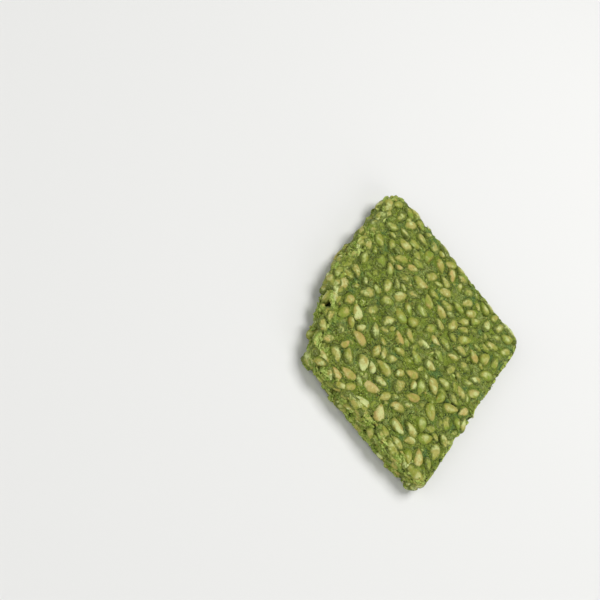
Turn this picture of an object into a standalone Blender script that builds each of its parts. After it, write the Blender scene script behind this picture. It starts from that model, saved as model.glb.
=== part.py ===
"""Green tea and sesame cracker, lying flat with its seeded face up.

It is one solid: a thin pressed slab with crumbly cut sides, and whole sesame seeds half sunk
in both faces and in the sides. Metres, +Z up, origin under the middle of its bounding box.
"""

import math
import random

import bmesh
import bpy
from mathutils import Matrix, Vector, noise
from mathutils.geometry import delaunay_2d_cdt

# Outline seen from above, counter-clockwise: each corner's x, y and radius.
FRONT_LEFT = (-0.0083, -0.0227, 0.0022)
FRONT_RIGHT = (0.0211, -0.0223, 0.0030)
BACK_RIGHT = (0.0191, 0.0223, 0.0030)
BACK_LEFT = (-0.0217, 0.0223, 0.0036)
LEFT_BEND = (-0.0175, -0.0044, 0.0200)
OUTLINE = (FRONT_LEFT, FRONT_RIGHT, BACK_RIGHT, BACK_LEFT, LEFT_BEND)
ARC_STEPS = 16

# The slab between the seeds.
SLAB_BOTTOM = 0.00045
SLAB_TOP = 0.00385
RIM_SPACING = 0.00135
GRID_SPACING = 0.0080
GRID_MARGIN = 0.0030
WELD_DISTANCE = 1e-7
FACE_WAVE_HEIGHT = 0.00022
FACE_WAVE_LENGTH = 0.018
TOP_WAVE = 1.5
UNDERSIDE_WAVE = 7.5

# Side wall, from the underside up: the share of the height and the inset of each ring.
TOP_INSET = 0.00060
SIDE_RINGS = ((0.0, 0.00055), (0.22, 0.00010), (0.48, 0.0), (0.76, 0.00015), (1.0, TOP_INSET))
RIM_WAVE_HEIGHT = 0.00055
RIM_WAVE_LENGTH = 0.0068
CRAG_HEIGHT = 0.00085
CRAG_LENGTH = 0.0021

# Sesame seeds: their sizes, and their form above and below the surface that they lie in.
SEED_LONGEST = 0.0037
SEED_SHORTEST = 0.0023
SEED_WIDTH_SHARE = (0.55, 0.67)
SEED_CROWN = 0.00034
SEED_PEAK = 0.00050
SEED_SUNK = 0.00009
SEED_ROOT = 0.00060
SEED_TAPER = 0.26
SEED_RING_ANGLES = (0, 48, 100, 152, 208, 260, 312)
CROWN_SHARE = 0.62

# Seeds laid on each face in turn, the longest first; one that finds no free place is skipped.
TOP_SEEDS = 235
UNDERSIDE_SEEDS = 94
FACE_MARGIN = 0.0001
SEED_GAP = 0.00006
SEED_TRIES = 700
SEED_CHOICES = 3
TOP_DRAW = 11
UNDERSIDE_DRAW = 23

# Patches of the upper face that are bare of seeds: x, y and radius.
BARE_PATCHES = (
    (-0.0010, -0.0076, 0.0020),
    (0.0036, -0.0078, 0.0014),
    (-0.0085, -0.0138, 0.0019),
    (0.0105, -0.0130, 0.0015),
    (0.0020, 0.0160, 0.0018),
    (0.0110, 0.0125, 0.0015),
    (-0.0115, 0.0005, 0.0014),
    (0.0150, 0.0020, 0.0012),
)

# Seeds that lie in the cut sides; the stride spreads their sizes along the outline.
SIDE_SEEDS = 36
SIDE_DRAW = 37
SIDE_SEED_HEIGHTS = (0.0016, 0.0027)
SIDE_SEED_LEAN = (15, 60)
SIDE_SEED_ROLL = 28
SIDE_SEED_SUNK = 0.00042
SIDE_SEED_JITTER = (0.35, 0.65)
SIDE_SEED_STRIDE = 13

# Edges shorter than this, and bends flatter than this, are left by the union and go.
SHORTEST_EDGE = 0.00001
FLAT_ANGLE = math.radians(0.4)

CRACKER_COLOUR = (0.13, 0.19, 0.035, 1.0)
CRACKER_ROUGHNESS = 0.6


def clear_scene():
    """Remove the objects that a new file starts with."""
    for thing in list(bpy.data.objects):
        bpy.data.objects.remove(thing, do_unlink=True)


def side_lines():
    """Each straight side of the outline as its start, its direction and its inward normal."""
    lines = []
    for index, corner in enumerate(OUTLINE):
        following = OUTLINE[(index + 1) % len(OUTLINE)]
        start = Vector(corner[:2])
        along = (Vector(following[:2]) - start).normalized()
        lines.append((start, along, Vector((-along.y, along.x))))
    return lines


def corner_arcs(lines):
    """Each rounded corner as its centre, radius, first angle and swept angle."""
    arcs = []
    for index, corner in enumerate(OUTLINE):
        before = lines[index - 1][1]
        after = lines[index][1]
        turn = before.angle_signed(after) * -1
        reach = corner[2] * math.tan(turn / 2)
        start = Vector(corner[:2]) - before * reach
        centre = start + lines[index - 1][2] * corner[2]
        first = math.atan2(start.y - centre.y, start.x - centre.x)
        arcs.append((centre, corner[2], first, turn))
    return arcs


SIDES = side_lines()
ARCS = corner_arcs(SIDES)


def outline_points(spacing):
    """Points spaced evenly along the rounded outline, each with its outward normal."""
    dense = []
    for centre, radius, first, turn in ARCS:
        for step in range(ARC_STEPS + 1):
            angle = first + turn * step / ARC_STEPS
            dense.append(centre + radius * Vector((math.cos(angle), math.sin(angle))))
    lengths = [(dense[(i + 1) % len(dense)] - point).length for i, point in enumerate(dense)]
    count = round(sum(lengths) / spacing)
    points = []
    segment = 0
    passed = 0.0
    for index in range(count):
        target = sum(lengths) * index / count
        while passed + lengths[segment] < target:
            passed += lengths[segment]
            segment += 1
        along = dense[(segment + 1) % len(dense)] - dense[segment]
        place = dense[segment] + along * ((target - passed) / lengths[segment])
        points.append((place, Vector((along.y, -along.x)).normalized()))
    return points


def depth_inside(place):
    """How far a point lies inside the rounded outline, negative outside it."""
    depth = min((place - start).dot(inward) for start, _, inward in SIDES)
    for index, (centre, radius, _, turn) in enumerate(ARCS):
        from_corner = place - SIDES[index][0]
        reach = radius * math.tan(turn / 2)
        near_this_side = from_corner.dot(SIDES[index][1]) < reach
        near_last_side = from_corner.dot(SIDES[index - 1][1]) > -reach
        if near_this_side and near_last_side:
            depth = min(depth, radius - (place - centre).length)
    return depth


def face_wave(x, y, pattern):
    """The slow rise and fall of a face, from the pattern's own slice of the noise."""
    place = Vector((x / FACE_WAVE_LENGTH, y / FACE_WAVE_LENGTH, pattern))
    return FACE_WAVE_HEIGHT * noise.noise(place)


def top_height(x, y):
    """Height of the slab's upper face."""
    return SLAB_TOP + face_wave(x, y, TOP_WAVE)


def underside_height(x, y):
    """Height of the slab's lower face."""
    return SLAB_BOTTOM + face_wave(x, y, UNDERSIDE_WAVE)


def wall_point(place, outward, share, inset):
    """A point of the crumbly side wall at a share of the slab's height."""
    height = SLAB_BOTTOM + share * (SLAB_TOP - SLAB_BOTTOM)
    wave = noise.noise(Vector((place.x, place.y, 0.0)) / RIM_WAVE_LENGTH)
    crag = noise.noise(Vector((place.x, place.y, height)) / CRAG_LENGTH)
    moved = place + outward * (RIM_WAVE_HEIGHT * wave + CRAG_HEIGHT * crag - inset)
    return Vector((moved.x, moved.y, height))


def face_grid():
    """Points of a staggered grid that lie well inside the outline."""
    xs = [corner[0] for corner in OUTLINE]
    ys = [corner[1] for corner in OUTLINE]
    points = []
    rows = math.ceil((max(ys) - min(ys)) / GRID_SPACING)
    columns = math.ceil((max(xs) - min(xs)) / GRID_SPACING)
    for row in range(rows + 1):
        for column in range(columns + 1):
            shift = 0.5 * (row % 2)
            place = Vector((min(xs) + (column + shift) * GRID_SPACING, min(ys) + row * GRID_SPACING))
            if depth_inside(place) > GRID_MARGIN:
                points.append(place)
    return points


def add_face(form, ring, height_at, upward):
    """Close one end of the wall with triangles over a grid, following the face's wave."""
    flat = [Vector((vertex.co.x, vertex.co.y)) for vertex in ring]
    inner = face_grid()
    edges = [(i, (i + 1) % len(flat)) for i in range(len(flat))]
    _, _, triangles, _, _, _ = delaunay_2d_cdt(flat + inner, edges, [], 1, WELD_DISTANCE)
    vertices = list(ring)
    for vertex in ring:
        vertex.co.z = height_at(vertex.co.x, vertex.co.y)
    for place in inner:
        vertices.append(form.verts.new((place.x, place.y, height_at(place.x, place.y))))
    for triangle in triangles:
        order = triangle if upward else tuple(reversed(triangle))
        form.faces.new([vertices[index] for index in order])


def make_slab():
    """The pressed slab: rings of the wall, bridged, with a gridded face at each end."""
    form = bmesh.new()
    rim = outline_points(RIM_SPACING)
    rings = []
    for share, inset in SIDE_RINGS:
        rings.append([form.verts.new(wall_point(place, out, share, inset)) for place, out in rim])
    for lower, upper in zip(rings, rings[1:]):
        for i in range(len(rim)):
            j = (i + 1) % len(rim)
            form.faces.new((lower[i], lower[j], upper[j], upper[i]))
    add_face(form, rings[0], underside_height, upward=False)
    add_face(form, rings[-1], top_height, upward=True)
    bmesh.ops.triangulate(form, faces=form.faces[:])
    mesh = bpy.data.meshes.new("sesame_cracker")
    form.to_mesh(mesh)
    form.free()
    return mesh


def seed_point(angle, length, width):
    """A point of the seed's outline: blunt behind and narrow at its tip, which is at +X."""
    turn = math.radians(angle)
    x = 0.5 * length * math.cos(turn)
    y = 0.5 * width * math.sin(turn) * (1 - SEED_TAPER * math.cos(turn))
    return Vector((x, y, 0.0))


def make_seed(length, width, crown, peak, matrix):
    """One seed: its outline just under the surface, a domed crown above and a root below."""
    form = bmesh.new()
    outline = [seed_point(angle, length, width) for angle in SEED_RING_ANGLES]
    raised = Vector((0, 0, SEED_SUNK + crown))
    ring = [form.verts.new(point) for point in outline]
    shoulder = [form.verts.new(point * CROWN_SHARE + raised) for point in outline]
    root = form.verts.new((0, 0, SEED_SUNK - SEED_ROOT))
    top = form.verts.new((0, 0, SEED_SUNK + peak))
    for i, vertex in enumerate(ring):
        j = (i + 1) % len(ring)
        form.faces.new((ring[j], vertex, root))
        form.faces.new((vertex, ring[j], shoulder[j], shoulder[i]))
        form.faces.new((shoulder[i], shoulder[j], top))
    bmesh.ops.transform(form, matrix=matrix, verts=form.verts[:])
    mesh = bpy.data.meshes.new("seed")
    form.to_mesh(mesh)
    form.free()
    return mesh


def span_gap(first, second):
    """Clear distance between two seeds, each taken as a rounded bar: middle, half axis, radius."""
    if (first[0] - second[0]).length > 2 * SEED_LONGEST:
        return SEED_LONGEST
    best = math.inf
    for one, other in ((first, second), (second, first)):
        for share in (-1.0, 0.0, 1.0):
            offset = one[0] + one[1] * share - other[0]
            reach = max(-1.0, min(1.0, offset.dot(other[1]) / other[1].length_squared))
            best = min(best, (offset - other[1] * reach).length)
    return best - first[2] - second[2]


def draw_sizes(draw, count):
    """Lengths and widths of the seeds, the longest first."""
    lengths = sorted((draw.uniform(SEED_SHORTEST, SEED_LONGEST) for _ in range(count)), reverse=True)
    return [(length, length * draw.uniform(*SEED_WIDTH_SHARE)) for length in lengths]


def room_for(bar, bars, patches):
    """How clear a seed would be of the edge, the bare patches and the seeds placed before it."""
    ends = (bar[0] + bar[1], bar[0] - bar[1])
    room = min(depth_inside(end) for end in ends) - bar[2] - TOP_INSET - FACE_MARGIN + SEED_GAP
    for x, y, radius in patches:
        room = min(room, (Vector((x, y)) - bar[0]).length - radius - bar[2] + SEED_GAP)
    for other in bars:
        if room <= SEED_GAP:
            break
        room = min(room, span_gap(bar, other))
    return room


def scatter_on_face(draw, count, patches):
    """Places of the seeds on a face, each the clearest of a few free ones."""
    seeds = []
    bars = []
    xs = [corner[0] for corner in OUTLINE]
    ys = [corner[1] for corner in OUTLINE]
    for length, width in draw_sizes(draw, count):
        choices = []
        for _ in range(SEED_TRIES):
            place = Vector((draw.uniform(min(xs), max(xs)), draw.uniform(min(ys), max(ys))))
            angle = draw.uniform(0, 2 * math.pi)
            axis = 0.5 * (length - width) * Vector((math.cos(angle), math.sin(angle)))
            bar = (place, axis, 0.5 * width)
            room = room_for(bar, bars, patches)
            if room > SEED_GAP:
                choices.append((room, bar, angle))
            if len(choices) == SEED_CHOICES:
                break
        if choices:
            _, bar, angle = max(choices, key=lambda choice: choice[0])
            bars.append(bar)
            seeds.append((bar[0], angle, length, width))
    return seeds


def add_seed(group, length, width, crown, peak, matrix):
    """Put a seed's object in the collection that the union joins to the slab."""
    seed = bpy.data.objects.new("seed", make_seed(length, width, crown, peak, matrix))
    group.objects.link(seed)


def seed_faces(group):
    """Seeds of the upper face, and those of the underside with their crowns pressed flat."""
    seeds = scatter_on_face(random.Random(TOP_DRAW), TOP_SEEDS, BARE_PATCHES)
    for place, angle, length, width in seeds:
        height = top_height(place.x, place.y) - SEED_SUNK
        matrix = Matrix.Translation((place.x, place.y, height)) @ Matrix.Rotation(angle, 4, "Z")
        add_seed(group, length, width, SEED_CROWN, SEED_PEAK, matrix)
    seeds = scatter_on_face(random.Random(UNDERSIDE_DRAW), UNDERSIDE_SEEDS, ())
    for place, angle, length, width in seeds:
        height = underside_height(place.x, place.y)
        matrix = Matrix.Translation((place.x, place.y, height + SEED_SUNK))
        matrix = matrix @ Matrix.Rotation(math.pi, 4, "X") @ Matrix.Rotation(angle, 4, "Z")
        add_seed(group, length, width, height, height, matrix)


def seed_sides(group):
    """Seeds that lie in the side wall, leaning with the layers, spaced along the outline."""
    draw = random.Random(SIDE_DRAW)
    rim = outline_points(RIM_SPACING)
    for index, (length, width) in enumerate(draw_sizes(draw, SIDE_SEEDS)):
        turn = index * SIDE_SEED_STRIDE % SIDE_SEEDS + draw.uniform(*SIDE_SEED_JITTER)
        place, outward = rim[int(turn * len(rim) / SIDE_SEEDS)]
        height = draw.uniform(*SIDE_SEED_HEIGHTS)
        share = (height - SLAB_BOTTOM) / (SLAB_TOP - SLAB_BOTTOM)
        wall = wall_point(place, outward, share, SIDE_SEED_SUNK)
        lean = math.radians(draw.uniform(*SIDE_SEED_LEAN) * draw.choice((-1, 1)))
        roll = math.radians(draw.uniform(-SIDE_SEED_ROLL, SIDE_SEED_ROLL) + draw.choice((0, 180)))
        heading = math.atan2(outward.y, outward.x)
        matrix = Matrix.Translation(wall) @ Matrix.Rotation(heading, 4, "Z")
        matrix = matrix @ Matrix.Rotation(math.pi / 2 - lean, 4, "Y")
        matrix = matrix @ Matrix.Rotation(math.pi / 2 + roll, 4, "Z")
        add_seed(group, length, width, SEED_CROWN, SEED_PEAK, matrix)


def cracker_material():
    """Plain matcha green for the whole solid."""
    material = bpy.data.materials.new("matcha_sesame")
    material.use_nodes = True
    shader = material.node_tree.nodes["Principled BSDF"]
    shader.inputs["Base Color"].default_value = CRACKER_COLOUR
    shader.inputs["Roughness"].default_value = CRACKER_ROUGHNESS
    shader.inputs["Metallic"].default_value = 0.0
    return material


def join_seeds(cracker, group):
    """Unite the slab with every seed, apply the union and remove the seeds' own objects."""
    union = cracker.modifiers.new("seeds", "BOOLEAN")
    union.operation = "UNION"
    union.operand_type = "COLLECTION"
    union.collection = group
    union.solver = "EXACT"
    bpy.context.view_layer.objects.active = cracker
    bpy.ops.object.modifier_apply(modifier=union.name)
    for seed in list(group.objects):
        bpy.data.objects.remove(seed, do_unlink=True)
    bpy.data.collections.remove(group)


def smooth_seams(mesh):
    """Collapse the union's tiniest edges and rejoin the faces that it split without need."""
    form = bmesh.new()
    form.from_mesh(mesh)
    bmesh.ops.dissolve_degenerate(form, dist=SHORTEST_EDGE, edges=form.edges[:])
    bmesh.ops.dissolve_limit(form, angle_limit=FLAT_ANGLE, verts=form.verts[:], edges=form.edges[:])
    bmesh.ops.triangulate(form, faces=form.faces[:])
    form.to_mesh(mesh)
    form.free()


def main():
    """Build the cracker."""
    clear_scene()
    cracker = bpy.data.objects.new("sesame_cracker", make_slab())
    bpy.context.scene.collection.objects.link(cracker)
    group = bpy.data.collections.new("seeds")
    bpy.context.scene.collection.children.link(group)
    seed_faces(group)
    seed_sides(group)
    join_seeds(cracker, group)
    smooth_seams(cracker.data)
    cracker.data.materials.append(cracker_material())


main()
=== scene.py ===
"""Dress the matcha sesame cracker: its paste, its seeds, and the flakes and crumbs of its cut sides.

Metres, +Z up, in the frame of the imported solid. The outline and the places of the seeds that the
solid has too follow its own named sizes and its own seeded rule.
"""

import functools
import math
import random

import bpy
import numpy as np
from bpy.props import FloatProperty, FloatVectorProperty, IntProperty, PointerProperty
from mathutils import Matrix, Quaternion, Vector, noise
from mathutils.kdtree import KDTree


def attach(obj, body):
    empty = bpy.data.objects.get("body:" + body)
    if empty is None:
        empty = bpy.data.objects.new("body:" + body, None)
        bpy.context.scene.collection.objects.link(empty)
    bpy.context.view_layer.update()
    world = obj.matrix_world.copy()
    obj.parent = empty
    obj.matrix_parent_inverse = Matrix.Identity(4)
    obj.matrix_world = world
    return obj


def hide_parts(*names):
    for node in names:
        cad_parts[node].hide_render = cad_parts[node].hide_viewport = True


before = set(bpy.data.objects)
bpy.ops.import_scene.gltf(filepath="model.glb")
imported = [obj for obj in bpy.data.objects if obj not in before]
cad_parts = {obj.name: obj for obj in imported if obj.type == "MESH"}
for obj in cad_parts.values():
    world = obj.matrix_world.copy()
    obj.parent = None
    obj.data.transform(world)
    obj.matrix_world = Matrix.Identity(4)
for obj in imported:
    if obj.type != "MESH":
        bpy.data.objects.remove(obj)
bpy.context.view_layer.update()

bl_info = {
    "name": "Matcha Sesame Cracker",
    "version": (1, 0, 0),
    "blender": (4, 5, 0),
    "location": "View3D > Sidebar > Cracker",
    "description": "Adds a matcha sesame cracker with its seeds, flakes and crumbs",
    "category": "Object",
}

BODY = "root"
NODE = "sesame_cracker"

# Outline seen from above, counter-clockwise: each corner's x, y and radius.
FRONT_LEFT = (-0.0083, -0.0227, 0.0022)
FRONT_RIGHT = (0.0211, -0.0223, 0.0030)
BACK_RIGHT = (0.0191, 0.0223, 0.0030)
BACK_LEFT = (-0.0217, 0.0223, 0.0036)
LEFT_BEND = (-0.0175, -0.0044, 0.0200)
OUTLINE = (FRONT_LEFT, FRONT_RIGHT, BACK_RIGHT, BACK_LEFT, LEFT_BEND)
ARC_STEPS = 16

# The slab between the seeds, and the slow waves and crags of its form.
SLAB_BOTTOM = 0.00045
SLAB_TOP = 0.00385
TOP_INSET = 0.00060
FACE_WAVE_HEIGHT = 0.00022
FACE_WAVE_LENGTH = 0.018
TOP_WAVE = 1.5
UNDERSIDE_WAVE = 7.5
RIM_SPACING = 0.00135
RIM_WAVE_HEIGHT = 0.00055
RIM_WAVE_LENGTH = 0.0068
CRAG_HEIGHT = 0.00085
CRAG_LENGTH = 0.0021

# Seeds that the solid has too: their sizes, and the rule that lays them on each face in turn.
SEED_LONGEST = 0.0037
SEED_SHORTEST = 0.0023
SEED_WIDTH_SHARE = (0.55, 0.67)
SEED_TAPER = 0.26
TOP_SEEDS = 235
UNDERSIDE_SEEDS = 94
FACE_MARGIN = 0.0001
SEED_GAP = 0.00006
SEED_TRIES = 700
SEED_CHOICES = 3
TOP_DRAW = 11
UNDERSIDE_DRAW = 23
BARE_PATCHES = (
    (-0.0010, -0.0076, 0.0020),
    (0.0036, -0.0078, 0.0014),
    (-0.0085, -0.0138, 0.0019),
    (0.0105, -0.0130, 0.0015),
    (0.0020, 0.0160, 0.0018),
    (0.0110, 0.0125, 0.0015),
    (-0.0115, 0.0005, 0.0014),
    (0.0150, 0.0020, 0.0012),
)

# Seeds of the cut sides that the solid has too.
SIDE_SEEDS = 36
SIDE_DRAW = 37
SIDE_SEED_HEIGHTS = (0.0016, 0.0027)
SIDE_SEED_LEAN = (15, 60)
SIDE_SEED_ROLL = 28
SIDE_SEED_SUNK = 0.00042
SIDE_SEED_JITTER = (0.35, 0.65)
SIDE_SEED_STRIDE = 13

# Mesh of the paste: a coarse shell, split once more on top and twice more on the sides.
SHELL_SPACING = 0.0003
SHELL_BEVEL = 0.00055
SHELL_BEVEL_STEPS = 3
SHELL_VOXEL = 0.00041
SIDE_BAND = (0.0008, 0.0019)
ROUGH_TOWARDS = Vector((-0.62, -0.78))
ROUGH_CHANGE = 0.8
CLEAN_SIDE_CRAGS = 0.2
CLEAN_SIDE_FLAKES = 0.05
RELIEF_REACH = 0.0022

# Form of one seed's mesh: its steps round and along, and how uneven it may be.
SEED_SEGMENTS = 10
SEED_RINGS = 7
SEED_TAPERS = (0.18, 0.42)
SEED_BENDS = (-0.14, 0.14)
SEED_GROW = 1.06
SEED_PLUMP = 1.03
SEED_DENT = 0.08
SEED_DENT_WAVES = (3.1, 2.3)
SEED_POINT = 0.36
SEED_FLATTEN = 0.85
WAVE_STARTS = (0, 6.3)


def tint(red, green, blue):
    """A linear colour from the red, green and blue of a screen, 0 to 255."""
    def part(value):
        value = value / 255
        return value / 12.92 if value <= 0.04045 else ((value + 0.055) / 1.055) ** 2.4
    return (part(red), part(green), part(blue))


def colour_prop(name, description, red, green, blue):
    """A colour that the sidebar shows."""
    return FloatVectorProperty(
        name=name, description=description, subtype="COLOR", size=3, min=0, max=1,
        default=tint(red, green, blue),
    )


def length_prop(name, description, default):
    """A length that the sidebar shows."""
    return FloatProperty(
        name=name, description=description, unit="LENGTH", precision=5, min=0, default=default
    )


def angle_prop(name, description, degrees):
    """An angle that the sidebar shows."""
    return FloatProperty(
        name=name, description=description, subtype="ANGLE", default=math.radians(degrees)
    )


def count_prop(name, description, default):
    """A number of like things that the sidebar shows."""
    return IntProperty(name=name, description=description, min=0, default=default)


def power_prop(name, description, default):
    """A light's power that the sidebar shows."""
    return FloatProperty(name=name, description=description, unit="POWER", min=0, default=default)


class PasteSettings(bpy.types.PropertyGroup):
    """Relief and colours of the matcha paste."""

    meniscus: length_prop("Paste at seeds", "How high the paste climbs round each seed", 0.00010)
    meniscus_reach: length_prop("Climb width", "How far from a seed the paste starts to climb", 0.00022)
    lump_height: length_prop("Lumps", "Height of the small lumps of both faces", 0.00017)
    layer_depth: length_prop("Layer depth", "Depth of the flaky layers in the cut sides", 0.00060)
    layer_height: length_prop("Layer height", "Thickness of one flaky layer", 0.00060)
    pit_depth: length_prop("Pit depth", "Depth of the pores in the cut sides", 0.0044)
    dark: colour_prop("Dark paste", "Paste in the hollows of the faces", 52, 66, 16)
    middle: colour_prop("Paste", "Most of the paste of the faces", 136, 147, 60)
    light: colour_prop("Light paste", "Powdery grains of the faces", 176, 190, 124)
    climb: colour_prop("Paste on seeds", "Thin paste that climbs a seed", 130, 150, 34)
    olive: colour_prop("Olive paste", "Browner blotches of the paste", 138, 124, 48)
    leaf: colour_prop("Leaf paste", "Greener blotches of the paste", 78, 122, 66)
    # Painted shade: laid in the hollows of the cut sides, in the seams round the seeds, and in dark specks
    # that partly stand for pores.
    side_shade: colour_prop("Side hollows", "Paste deep in the cut sides", 50, 60, 10)
    side_light: colour_prop("Side layers", "Paste on the layers of the cut sides", 184, 202, 82)
    # Painted highlight: laid on the ridges of the cut sides and in the pale specks, which are partly glints.
    side_highlight: colour_prop("Side edges", "Thin edges of the layers", 206, 224, 118)


class SeedSettings(bpy.types.PropertyGroup):
    """Sizes and colours of the sesame seeds."""

    thickness: length_prop("Thickness", "Thickness of a seed", 0.00116)
    tilt: angle_prop("Tilt", "Most that a seed of a face tilts", 10)
    shift: length_prop("Shift", "Most that a seed on top has slid from its place", 0.00022)
    sunk_count: count_prop("Sunk seeds", "Smaller seeds sunk between the others on top", 110)
    sunk_depth: length_prop("Sunk depth", "How much lower the sunk seeds lie at most", 0.00040)
    side_count: count_prop("Side seeds", "Further seeds that show in the cut sides", 60)
    rim_count: count_prop("Rim seeds", "Seeds that hang over the edge of the top", 52)
    green: colour_prop("Green seed", "Seed stained by the paste", 130, 150, 40)
    khaki: colour_prop("Khaki seed", "Seed between green and tan", 154, 157, 58)
    tan: colour_prop("Tan seed", "Toasted seed", 176, 168, 86)
    # The cream also makes the painted highlight on each seed's crown.
    cream: colour_prop("Cream seed", "Palest seed", 204, 213, 140)
    # Partly painted shade: the darker flank of each seed; it also colours the hull's streaks.
    edge: colour_prop("Seed edge", "Flank of a seed, darker than its crown", 108, 116, 20)
    blush: colour_prop("Blush", "Warm blotches of the hull", 184, 154, 70)
    peach: colour_prop("Peach seed", "A few seeds that are pinker", 198, 164, 92)
    toast: colour_prop("Toasted tip", "Brown point of some seeds", 158, 104, 42)
    coat: colour_prop("Paste film", "Film of paste on a seed", 124, 142, 46)
    # Painted shade where a seed meets the paste, partly a brown edge; it also darkens grit in the film.
    waterline: colour_prop("Waterline", "Where a seed meets the paste", 52, 44, 10)


class CrumbSettings(bpy.types.PropertyGroup):
    """Number and colours of the loose-looking bits that cling to the cracker."""

    flakes: count_prop("Flakes", "Thin flakes in the cut sides", 620)
    rim_flakes: count_prop("Rim flakes", "Flakes along the top's edge", 180)
    side_crumbs: count_prop("Side crumbs", "Crumbs on the cut sides", 560)
    rim_crumbs: count_prop("Rim crumbs", "Crumbs along the top's edge", 1000)
    face_crumbs: count_prop("Face crumbs", "Crumbs on the top", 320)
    fibres: count_prop("Fibres", "Thin curled threads of paste", 50)
    scraps: count_prop("Hull scraps", "Pale scraps of seed hull", 26)
    low: colour_prop("Low crumb", "Darkest crumb or flake", 102, 124, 34)
    high: colour_prop("High crumb", "Brightest crumb or flake", 188, 202, 110)
    warm: colour_prop("Warm crumb", "Toasted blotches", 186, 162, 88)
    fresh: colour_prop("Fresh crumb", "Bright green blotches", 120, 148, 58)
    hull: colour_prop("Hull", "Scraps of seed hull", 206, 208, 160)


class StageSettings(bpy.types.PropertyGroup):
    """The camera and the light."""

    target: FloatVectorProperty(
        name="Aim", description="Where the camera's axis meets the top", subtype="TRANSLATION", unit="LENGTH",
        size=3, precision=5, default=(-0.01688, -0.01689, 0.004),
    )
    distance: length_prop("Distance", "From the camera to its aim", 0.13069)
    pitch: angle_prop("Pitch", "How far down the camera looks", 50)
    heading: angle_prop("Heading", "Turn of the view from +Y to +X", 1.31)
    roll: angle_prop("Roll", "Turn of the camera on its own axis", 52)
    lens: FloatProperty(name="Lens", description="Focal length", unit="CAMERA", min=1, default=45.6)
    key_power: power_prop("Key", "Main light", 2.15)
    fill_power: power_prop("Fill", "Front light", 1.75)
    bounce_power: power_prop("Bounce", "Light thrown back from the right", 0.9)
    air: FloatProperty(name="Air light", description="Light from all round", min=0, default=0.18)
    floor: colour_prop("Floor", "Plain pale floor", 224, 224, 222)


def smooth_step(value):
    """Ease from 0 to 1 with no corner at either end."""
    value = np.clip(value, 0, 1)
    return value * value * (3 - 2 * value)


def side_lines():
    """Each straight side of the outline as its start, its direction and its inward normal."""
    lines = []
    for index, corner in enumerate(OUTLINE):
        following = OUTLINE[(index + 1) % len(OUTLINE)]
        start = Vector(corner[:2])
        along = (Vector(following[:2]) - start).normalized()
        lines.append((start, along, Vector((-along.y, along.x))))
    return lines


def corner_arcs(lines):
    """Each rounded corner as its centre, radius, first angle and swept angle."""
    arcs = []
    for index, corner in enumerate(OUTLINE):
        before = lines[index - 1][1]
        after = lines[index][1]
        turn = before.angle_signed(after) * -1
        reach = corner[2] * math.tan(turn / 2)
        start = Vector(corner[:2]) - before * reach
        centre = start + lines[index - 1][2] * corner[2]
        first = math.atan2(start.y - centre.y, start.x - centre.x)
        arcs.append((centre, corner[2], first, turn))
    return arcs


SIDES = side_lines()
ARCS = corner_arcs(SIDES)


@functools.cache
def outline_points(spacing):
    """Points spaced evenly along the rounded outline, each with its outward normal."""
    dense = []
    for centre, radius, first, turn in ARCS:
        for step in range(ARC_STEPS + 1):
            angle = first + turn * step / ARC_STEPS
            dense.append(centre + radius * Vector((math.cos(angle), math.sin(angle))))
    lengths = [(dense[(i + 1) % len(dense)] - point).length for i, point in enumerate(dense)]
    count = round(sum(lengths) / spacing)
    points = []
    segment = 0
    passed = 0.0
    for index in range(count):
        target = sum(lengths) * index / count
        while passed + lengths[segment] < target:
            passed += lengths[segment]
            segment += 1
        along = dense[(segment + 1) % len(dense)] - dense[segment]
        place = dense[segment] + along * ((target - passed) / lengths[segment])
        points.append((place, Vector((along.y, -along.x)).normalized()))
    return points


def depth_inside(place):
    """How far a point lies inside the rounded outline, negative outside it."""
    depth = min((place - start).dot(inward) for start, _, inward in SIDES)
    for index, (centre, radius, _, turn) in enumerate(ARCS):
        from_corner = place - SIDES[index][0]
        reach = radius * math.tan(turn / 2)
        near_this_side = from_corner.dot(SIDES[index][1]) < reach
        near_last_side = from_corner.dot(SIDES[index - 1][1]) > -reach
        if near_this_side and near_last_side:
            depth = min(depth, radius - (place - centre).length)
    return depth


def face_wave(x, y, pattern):
    """The slow rise and fall of a face, from the pattern's own slice of the noise."""
    place = Vector((x / FACE_WAVE_LENGTH, y / FACE_WAVE_LENGTH, pattern))
    return FACE_WAVE_HEIGHT * noise.noise(place)


def top_height(x, y):
    """Height of the paste's upper face."""
    return SLAB_TOP + face_wave(x, y, TOP_WAVE)


def underside_height(x, y):
    """Height of the paste's lower face."""
    return SLAB_BOTTOM + face_wave(x, y, UNDERSIDE_WAVE)


def roughness_of(outward):
    """How roughly the cut side that faces a direction is broken: most at the front and left."""
    return float(smooth_step(0.5 + ROUGH_CHANGE * outward.dot(ROUGH_TOWARDS)))


def wall_push(place, outward, height):
    """How far the cut side stands out of the outline at a height: its waves and its crags."""
    wave = noise.noise(Vector((place.x, place.y, 0.0)) / RIM_WAVE_LENGTH)
    crag = noise.noise(Vector((place.x, place.y, height)) / CRAG_LENGTH)
    share = CLEAN_SIDE_CRAGS + (1 - CLEAN_SIDE_CRAGS) * roughness_of(outward)
    return RIM_WAVE_HEIGHT * wave + CRAG_HEIGHT * crag * share


def wall_point(place, outward, height, inset):
    """A point of the cut side at a height."""
    moved = place + outward * (wall_push(place, outward, height) - inset)
    return Vector((moved.x, moved.y, height))


def span_gap(first, second):
    """Clear distance between two seeds, each taken as a rounded bar: middle, half axis, radius."""
    if (first[0] - second[0]).length > 2 * SEED_LONGEST:
        return SEED_LONGEST
    best = math.inf
    for one, other in ((first, second), (second, first)):
        for share in (-1.0, 0.0, 1.0):
            offset = one[0] + one[1] * share - other[0]
            reach = max(-1.0, min(1.0, offset.dot(other[1]) / other[1].length_squared))
            best = min(best, (offset - other[1] * reach).length)
    return best - first[2] - second[2]


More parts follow.
